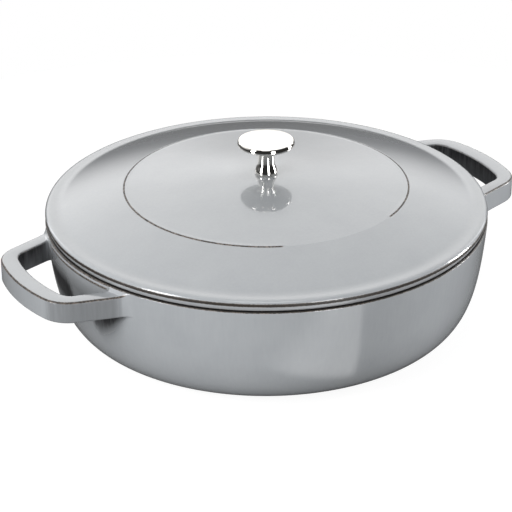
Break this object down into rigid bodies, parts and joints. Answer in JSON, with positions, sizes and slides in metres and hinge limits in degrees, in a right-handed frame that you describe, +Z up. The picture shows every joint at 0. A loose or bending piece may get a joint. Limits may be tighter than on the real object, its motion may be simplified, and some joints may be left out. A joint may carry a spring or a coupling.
{
  "type": "cast iron casserole pot",
  "caption": "Low round enamelled cast iron casserole with a drafted wall, cast loop handles and a loose domed lid that lifts off by a screwed-on metal knob.",
  "frame": {"origin": "centre of the pot's flat base, on the surface it stands on", "axes": "+X through the middle of one handle, +Z up along the axis of the pot and lid, -Y towards the stretch where the lid's ring is left out"},
  "size_m": [0.3648, 0.2902, 0.1258],
  "materials": {
    "enamel": "glossy light grey enamel",
    "knob_metal": "polished",
    "hardware": "zinc plated"
  },
  "bodies": {
    "pot": {"pot_body": "enamel"},
    "lid": {"lid": "enamel", "knob": "knob_metal", "knob_screw": "hardware", "lock_washer": "hardware", "flat_washer": "hardware"}
  },
  "joints": [
    {"name": "lid_lift", "type": "slide", "parent": "pot", "child": "lid", "axis": [0, 0, 1], "range_m": [0, 0.12]}
  ]
}
